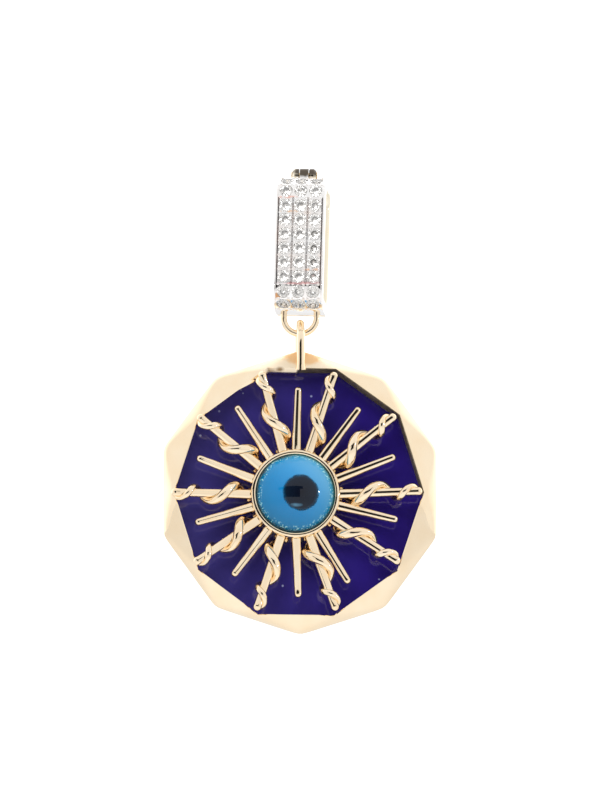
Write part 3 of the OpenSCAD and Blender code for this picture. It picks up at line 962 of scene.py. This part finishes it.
@dataclass
class Eye:
    """The domed glass and the black spot fused in it."""

    edge_r: float = 3.83
    dome_h: float = 1.85
    rim_y: float = -1.75
    pupil_r: float = 1.84
    pupil_x: float = 0.46
    pupil_z: float = -0.14
    pupil_lift: float = 0.004
    dome_rings: int = 29
    pupil_rings: int = 14

    def ball_r(self) -> float:
        """Radius of the ball that the dome is a part of."""
        return (self.edge_r ** 2 + self.dome_h ** 2) / (2 * self.dome_h)

    def dome(self) -> Shape:
        """The glass, from its foot in the bezel to the crown."""
        ball, edge, top = self.ball_r(), self.edge_r, self.dome_h - self.rim_y
        reach = math.asin(edge / ball)
        profile = [(0.0, -0.1), (edge - 0.1, -0.1), (edge, 0.0), (edge, -self.rim_y - 0.02)]
        for i in range(1, self.dome_rings):
            a = reach * (1 - i / self.dome_rings)
            profile.append((ball * sin(a), top - ball * (1 - cos(a))))
        shape = Shape()
        shape.lathe([*profile, (0.0, top)], 112)
        return shape

    def on_dome(self, r: float, a: float) -> Vector:
        """A point just over the dome, at a radius and an angle round the spot's middle."""
        ball, top = self.ball_r() + self.pupil_lift, self.dome_h - self.rim_y + self.pupil_lift
        x, z = self.pupil_x + r * cos(a), self.pupil_z + r * sin(a)
        return round_y(r, a, ball - top - math.sqrt(ball ** 2 - x ** 2 - z ** 2))

    def pupil(self) -> Shape:
        """A thin cap that lies on the crown of the dome, round the spot's own middle."""
        rings = [[self.on_dome(self.pupil_r * i / self.pupil_rings, a) for a in turns(56)]
                 for i in range(1, self.pupil_rings + 1)]
        shape = Shape()
        shape.loft([[self.on_dome(0.0, 0.0)], *rings], (False, False))
        return shape

    def build(self, finishes: Finishes) -> None:
        """Builds the glass and its spot."""
        Piece("eye_dome", self.dome(), finishes.eye, Body.MEDALLION, ("eye_glass",), HANG.sun(),
              Slot.EYE).build()
        place = HANG.sun() @ Matrix.Translation((self.pupil_x, 0, self.pupil_z))
        Piece("eye_spot", self.pupil(), finishes.pupil, Body.MEDALLION, ("eye_pupil",), place,
              Slot.PUPIL).build()


@dataclass
class Wall:
    """The bent wall that the holder's front and its gate are the two halves of."""

    depth: float = 7.6
    flat_h: float = 8.8
    bend_r: float = 2.3
    wall: float = 1.1


@dataclass
class Holder(Wall):
    """The holder's set front, its hinge pin and the loop under it."""

    stone_d: float = 1.34
    stone_lift: float = 0.04
    cut_fold: int = 8
    crown: float = 0.19
    girdle: float = 0.035
    pavilion: float = 0.5
    row_pitch: float = 1.43
    column_pitch: float = 1.47
    flat_rows: int = 6
    bend_rows: int = 2
    bead_r: float = 0.165
    bead_x: float = 0.53
    grain_r: float = 0.062
    grain_count: int = 57
    rail_x: float = 2.33
    groove_x: float = 2.17
    wire_r: float = 0.325
    loop_r: float = 1.65
    leg_in: float = 0.7

    def on_front(self, s: float, x: float, lift: float = 0.0) -> Matrix:
        """The frame of a place on the front: +Z out of the wall.

        Args:
            s: Distance along the front's outline, up from the middle of the flat.
            x: Sideways place.
            lift: Height over the wall.

        Returns:
            The frame's matrix.
        """
        over = max(abs(s) - self.flat_h / 2, 0.0)
        turn, side = over / self.bend_r, -1 if s < 0 else 1
        middle = self.wall - (self.flat_h + 2 * self.bend_r) / 2
        at = Vector((x, -self.depth / 2 + self.bend_r, middle + side * min(abs(s), self.flat_h / 2)))
        place = Matrix.Translation(at) @ Matrix.Rotation(-side * turn, 4, "X")
        return place @ Matrix.Translation((0, -self.bend_r - lift, 0)) @ Matrix.Rotation(pi / 2, 4, "X")

    def rows(self) -> list[float]:
        """The rows' distances along the front's outline."""
        flat = [(i - (self.flat_rows - 1) / 2) * self.row_pitch for i in range(self.flat_rows)]
        bends = [side * (self.flat_h / 2 + (i + 0.5) * self.row_pitch)
                 for i in range(self.bend_rows) for side in (-1, 1)]
        return sorted(flat + bends)

    def brilliant(self) -> Shape:
        """One round brilliant with its table at height 0."""
        f, r, low_y = self.cut_fold, self.stone_d / 2, -self.crown - self.girdle
        half = pi / f
        points = (round_z(0.5 * r, 0, f) + round_z(0.76 * r, -self.crown * 0.4, f, half)
                  + round_z(r, -self.crown, 2 * f) + round_z(r, low_y, 2 * f)
                  + round_z(0.46 * r, low_y - self.pavilion * 0.58, f, half)
                  + [Vector((0, 0, low_y - self.pavilion))])
        low, inner, point = 4 * f, 6 * f, 7 * f
        faces: list[tuple[int, ...]] = [tuple(range(f))]
        for i in range(f):
            j, h, k = (i + 1) % f, (i + f - 1) % f, 2 * i
            faces += [(i, f + i, j), (2 * f + k, f + i, i), (2 * f + k, i, f + h),
                      (2 * f + k, 2 * f + k + 1, f + i), (2 * f + k + 1, 2 * f + 2 * j, f + i),
                      (low + k, inner + i, low + k + 1), (low + k + 1, inner + i, low + 2 * j),
                      (low + k, inner + h, inner + i), (inner + i, point, inner + j)]
        for j in range(2 * f):
            m = (j + 1) % (2 * f)
            faces.append((2 * f + j, low + j, low + m, 2 * f + m))
        return Shape(points, faces)

    def stones(self) -> Shape:
        """The whole field of stones."""
        shape = Shape()
        for k, s in enumerate(self.rows()):
            for c in (-1, 0, 1):
                tip = Matrix.Rotation(radians(2.2 * ((k * 5 + c * 3) % 5 - 2)), 4, "X")
                spin = Matrix.Rotation(radians(17 * ((k * 3 + c) % 5)), 4, "Z") @ tip
                place = self.on_front(s, c * self.column_pitch, self.stone_lift)
                shape.join(self.brilliant().moved(place @ spin))
        return shape

    def beads(self) -> Shape:
        """Four small beads round each stone, shared between the rows."""
        shape, rows, half = Shape(), self.rows(), self.row_pitch / 2
        lines = [rows[0] - half, *((a + b) / 2 for a, b in zip(rows, rows[1:])), rows[-1] + half]
        rises = [pi / 10 * i - 0.25 for i in range(6)]
        for k, s in enumerate(lines):
            for c in (-1, 0, 1):
                for side in (-1, 1):
                    size = self.bead_r * (1 + 0.08 * ((k * 5 + c * 2 + side) % 3 - 1))
                    place = self.on_front(s, c * self.column_pitch + side * self.bead_x)
                    shape.join(bead(size, size * 0.9, rises, 12).moved(place))
        return shape

    def band(self, x: float, width: float, height: float, reach: float) -> Shape:
        """A low rounded band that runs up the front.

        Args:
            x: Its sideways place.
            width: Its width.
            height: How far it stands proud.
            reach: How far it runs up and down from the middle of the flat.

        Returns:
            The shape.
        """
        shape, steps = Shape(), 44
        places = [self.on_front(reach * (2 * i / steps - 1), x) for i in range(steps + 1)]
        shape.loft([[place @ Vector((width / 2 * cos(a), 0, height * sin(a))) for a in turns(10)]
                    for place in places])
        return shape

    def grains(self) -> Shape:
        """Two fine rows of grains between the columns of stones."""
        shape, reach = Shape(), self.flat_h / 2 - 0.1
        for side in (-1, 1):
            for i in range(self.grain_count):
                r = self.grain_r * (1 + 0.1 * ((i * 7 + side) % 3 - 1))
                place = self.on_front(reach * (2 * i / (self.grain_count - 1) - 1),
                                      side * self.column_pitch / 2)
                shape.join(bead(r, r, (-0.3, 0.3, 0.8, 1.2), 8).moved(place))
        return shape

    def loop(self) -> Shape:
        """The U of round wire under the holder."""
        bend_z, r = -HANG.loop_drop + self.loop_r, self.loop_r
        top = self.wall - self.flat_h - 2 * self.bend_r + self.leg_in
        left = [Vector((-r, 0, top + (bend_z - top) * i / 4)) for i in range(4)]
        arc = [Vector((-r * cos(a), 0, bend_z - r * sin(a))) for a in (pi * i / 36 for i in range(37))]
        right = [Vector((r, 0, p.z)) for p in reversed(left)]
        shape = Shape()
        shape.tube(left + arc + right, lambda _: self.wire_r, 28, Vector((0, 1, 0)))
        return shape

    def soften(self, node: bpy.types.Object, rounding: float) -> None:
        """Softens a node's sharp edges over a width in millimetres."""
        node.modifiers.new("weld", "WELD").merge_threshold = 1e-7
        bevel = node.modifiers.new("rounding", "BEVEL")
        bevel.limit_method, bevel.angle_limit = "ANGLE", radians(40)
        bevel.width, bevel.segments = rounding * MM, 2
        node.modifiers.new("normals", "WEIGHTED_NORMAL").keep_sharp = True

    def build(self, finishes: Finishes) -> None:
        """Builds the stones, beads and loop, and dresses the nodes that stay."""
        place = HANG.holder()
        Piece("cut_stones", self.stones(), finishes.stone, Body.HOLDER, ("pave_stones",), place, Slot.STONE,
              crease=5).build()
        rails, groove_shades, half = Shape(), Shape(), self.flat_h / 2
        for side in (-1, 1):
            rails.join(self.band(side * self.rail_x, 0.2, 0.1, half + self.bend_rows * self.row_pitch))
            # Painted shade: thin dark strips along the grooves, where the grooves only lie in shade.
            groove_shades.join(self.band(side * self.groove_x, 0.15, 0.012, half))
            groove_shades.join(self.band(side * self.column_pitch / 2, 0.17, 0.01, half))
        for name, shape, finish in (("stone_beads", self.beads(), finishes.beads),
                                    ("column_grains", self.grains(), finishes.beads),
                                    ("edge_rails", rails, finishes.holder),
                                    ("groove_shade_strips", groove_shades, finishes.groove_shade)):
            Piece(name, shape, finish, Body.HOLDER, (), place, Slot.WHITE_GOLD).build()
        Piece("loop_wire", self.loop(), finishes.yellow, Body.HOLDER, ("hang_loop",), place,
              Slot.YELLOW_GOLD).build()
        self.soften(dress("holder_front", finishes.holder), 0.05)
        self.soften(dress("hinge_pin", finishes.satin), 0.03)


@dataclass
class Gate(Wall):
    """The gold gate: a bent band with softly rounded inner edges, two knuckles and the catch's tongue."""

    width: float = 4.9
    top_y: float = 0.1
    low_y: float = 0.85
    break_w: float = 0.08
    inner_w: float = 0.65
    inner_t: float = 0.4
    outer_r: float = 0.12
    hinge_z: float = 1.75
    knuckle_r: float = 0.68
    bore_r: float = 0.28
    knuckle_in: float = 0.51
    knuckle_out: float = 1.2
    web_y: float = 0.66
    tongue_w: float = 1.7
    tongue_z: float = -11.95
    tongue_t: float = 0.4

    def section(self, ease: float) -> list[tuple[float, float]]:
        """The band's section.

        Args:
            ease: How much smaller it is on every side.

        Returns:
            Pairs of a sideways place and a height over the middle of the wall.
        """
        w, t = self.width / 2 - ease, self.wall / 2 - ease
        half = [((w - self.inner_w) * i / 4, -t) for i in range(4)]
        half += [(w - self.inner_w * (1 - sin(a)), -t + self.inner_t * (1 - cos(a)))
                 for a in (pi / 20 * i for i in range(11))]
        half += [(w - self.outer_r * (1 - cos(a)), t - self.outer_r * (1 - sin(a)))
                 for a in (pi / 8 * i for i in range(5))]
        half += [((w - self.outer_r) * i / 4, t) for i in (3, 2, 1, 0)]
        return half + [(-x, h) for x, h in reversed(half[1:-1])]

    def band(self) -> Shape:
        """The wall, from the hinge round the back to the catch."""
        high, low = self.wall - self.bend_r, self.wall - self.bend_r - self.flat_h
        bend_y, r, e = self.depth / 2 - self.bend_r, self.bend_r - self.wall / 2, self.break_w
        stops = [(self.top_y, high + r, 90, e), (self.top_y + e, high + r, 90, 0)]
        for z, angles in ((high, range(90, -1, -6)), (low, range(0, -91, -6))):
            stops += [(bend_y + r * cos(radians(a)), z + r * sin(radians(a)), a, 0) for a in angles]
        stops += [(self.low_y + e, low - r, -90, 0), (self.low_y, low - r, -90, e)]
        shape = Shape()
        shape.loft([[Vector((x, y + h * cos(radians(a)), z + h * sin(radians(a))))
                     for x, h in self.section(ease)] for y, z, a, ease in stops])
        return shape

    def block(self, x0: float, x1: float, y0: float, y1: float, z0: float, z1: float) -> Shape:
        """A block with slightly broken edges at its two ends in Y."""
        shape, b = Shape(), 0.05
        shape.loft([[Vector((x, y, z)) for x, z in ((x0 + e, z0 + e), (x1 - e, z0 + e), (x1 - e, z1 - e),
                                                    (x0 + e, z1 - e))]
                    for y, e in ((y0, b), (y0 + b, 0.0), (y1 - b, 0.0), (y1, b))])
        return shape

    def knuckles(self) -> Shape:
        """The two bored knuckles with the webs that carry them."""
        shape = Shape()
        r, a, b = self.knuckle_r, self.knuckle_in, self.knuckle_out
        profile = ((a, self.bore_r), (a, r - 0.05), (a + 0.05, r), (b - 0.25, r), (b - 0.03, r - 0.19),
                   (b, r - 0.25), (b, self.bore_r), (a, self.bore_r))
        for side in (-1, 1):
            shape.loft([[Vector((side * x, q * cos(t), self.hinge_z + q * sin(t))) for t in turns(48)]
                        for x, q in profile], (False, False))
            x0, x1 = sorted((side * a, side * b))
            shape.join(self.block(x0, x1, self.top_y, self.web_y, self.wall - 0.4, self.hinge_z))
        return shape

    def build(self, finishes: Finishes) -> None:
        """Builds the band with its tongue, and the knuckles."""
        band, half = self.band(), self.tongue_w / 2
        band.join(self.block(-half, half, 0.2, 1.4, self.tongue_z, self.tongue_z + self.tongue_t))
        for name, shape in (("gate_band", band), ("gate_knuckles", self.knuckles())):
            Piece(name, shape, finishes.gate, Body.GATE, ("gate",), HANG.holder(), Slot.YELLOW_GOLD).build()


@dataclass
class Studio:
    """The floor, the light and the camera."""

    azimuth: float = -2.5
    elevation: float = -9.0
    distance: float = 600.0
    px_per_mm: float = 10.0
    image_px: tuple[float, float] = (600.0, 800.0)
    origin_px: tuple[float, float] = (304.0, 192.7)
    front_light: float = 0.90
    side_light: float = 0.97
    back_light: float = 1.43
    card_away: float = 120.0
    cards: tuple[tuple[float, float, float, float], ...] = ((-60.0, 22.5, -45.0, 10.5),
                                                           (22.5, 38.0, -4.0, 10.5),
                                                           (-100.0, -60.0, -4.0, 10.5))
    floor_half: float = 2500.0
    floor_z: float = -220.0

    def axes(self, azimuth: float, elevation: float) -> tuple[Vector, Vector, Vector]:
        """Right, up and back of a view.

        Args:
            azimuth: Degrees round the upright, 0 looking along +Y.
            elevation: Degrees above the level.

        Returns:
            The three directions.
        """
        a, e = radians(azimuth), radians(elevation)
        back = Vector((sin(a) * cos(e), -cos(a) * cos(e), sin(e)))
        right = Vector((cos(a), sin(a), 0))
        return right, back.cross(right), back

    def camera(self) -> None:
        """Sets the camera at the photograph's angle and scale."""
        right, up, back = self.axes(self.azimuth, self.elevation)
        width, height = self.image_px
        x, y = self.origin_px
        aim = (right * (width / 2 - x) - up * (height / 2 - y)) / self.px_per_mm
        data = bpy.data.cameras.new("camera")
        data.sensor_width = 36.0
        data.lens = 36.0 * self.distance * self.px_per_mm / height
        data.clip_start, data.clip_end = 0.01, 20.0
        camera = put("camera", data)
        turn = Matrix((right, up, back)).transposed().to_4x4()
        camera.matrix_world = Matrix.Translation((aim + back * self.distance) * MM) @ turn
        bpy.context.scene.camera = camera

    def stage(self, name: str, shape: Shape, finish: Plain) -> bpy.types.Object:
        """Makes a stage object.

        Args:
            name: Its name.
            shape: Its shape.
            finish: Its finish.

        Returns:
            The object.
        """
        thing = put(name, shape.mesh(name, finish.make()))
        return thing

    def light(self, name: str, azimuth: float, elevation: float, away: float, size: float,
              watts: float) -> bpy.types.Object:
        """A soft square light that faces the medallion.

        Args:
            name: The light's name.
            azimuth: Degrees round the upright.
            elevation: Degrees above the level.
            away: Distance from the medallion, in millimetres.
            size: Side of the light, in millimetres.
            watts: Its power.

        Returns:
            The light.
        """
        _, _, back = self.axes(azimuth, elevation)
        data = bpy.data.lights.new(name, "AREA")
        data.size, data.energy = size * MM, watts
        lamp = put(name, data)
        lamp.location = (Vector((0, 0, -30)) + back * away) * MM
        lamp.rotation_mode = "QUATERNION"
        lamp.rotation_quaternion = back.to_track_quat("Z", "Y")
        return lamp

    def world(self) -> None:
        """The white tent, brightest behind and a little dimmer in front."""
        world = bpy.data.worlds.new("tent")
        world.use_nodes = True
        bpy.context.scene.world = world
        n = Nodes(world.node_tree)
        where = n.add("TexCoord").outputs["Generated"]
        behind = n.spread(n.vector("DOT_PRODUCT", where, (0.0, 1.0, 0.0)), -0.2, 0.25)
        facing = n.spread(n.vector("DOT_PRODUCT", where, Vector((0.0, -1.0, 0.1)).normalized()), 0.62, 0.95)
        strength = n.mix(facing, (self.side_light,) * 3, (self.front_light,) * 3)
        strength = n.mix(behind, strength, (self.back_light,) * 3)
        n.add("OutputWorld", Surface=n.add("Background", Color=strength, Strength=1.0).outputs[0])

    def build(self) -> None:
        """Builds the whole stage."""
        settings = bpy.context.scene.view_settings
        settings.view_transform, settings.look = "Standard", "None"
        self.world()
        card, floor, half = Shape(), Shape(), self.floor_half
        for x0, x1, z0, z1 in self.cards:
            card.add([Vector((x, -self.card_away, z)) for x, z in ((x0, z0), (x1, z0), (x1, z1), (x0, z1))],
                     [(0, 1, 2, 3)])
        floor.add([Vector((x * half, y * half, self.floor_z))
                   for x, y in ((-1, -1), (1, -1), (1, 1), (-1, 1))], [(0, 1, 2, 3)])
        unseen = self.stage("front_card", card, Plain("black_card", (0.012, 0.011, 0.012)))
        unseen.visible_camera = unseen.visible_transmission = False
        self.light("catch_light", 58, 7, 500, 22, 0.08)
        self.light("fill_light", -20, 32, 420, 300, 1.0).visible_glossy = False
        self.stage("floor", floor, Plain("pale_floor", (0.72, 0.72, 0.72)))
        self.camera()


def main() -> None:
    """Builds the pendant piece by piece and sets the stage."""
    logging.basicConfig(level=logging.INFO, format="%(message)s")
    finishes = Finishes()
    for part in (Holder(), Gate(), Medallion(), Sun(), Eye()):
        LOG.info("building %s", type(part).__name__)
        part.build(finishes)
    Studio().build()


if __name__ == "__main__":
    main()
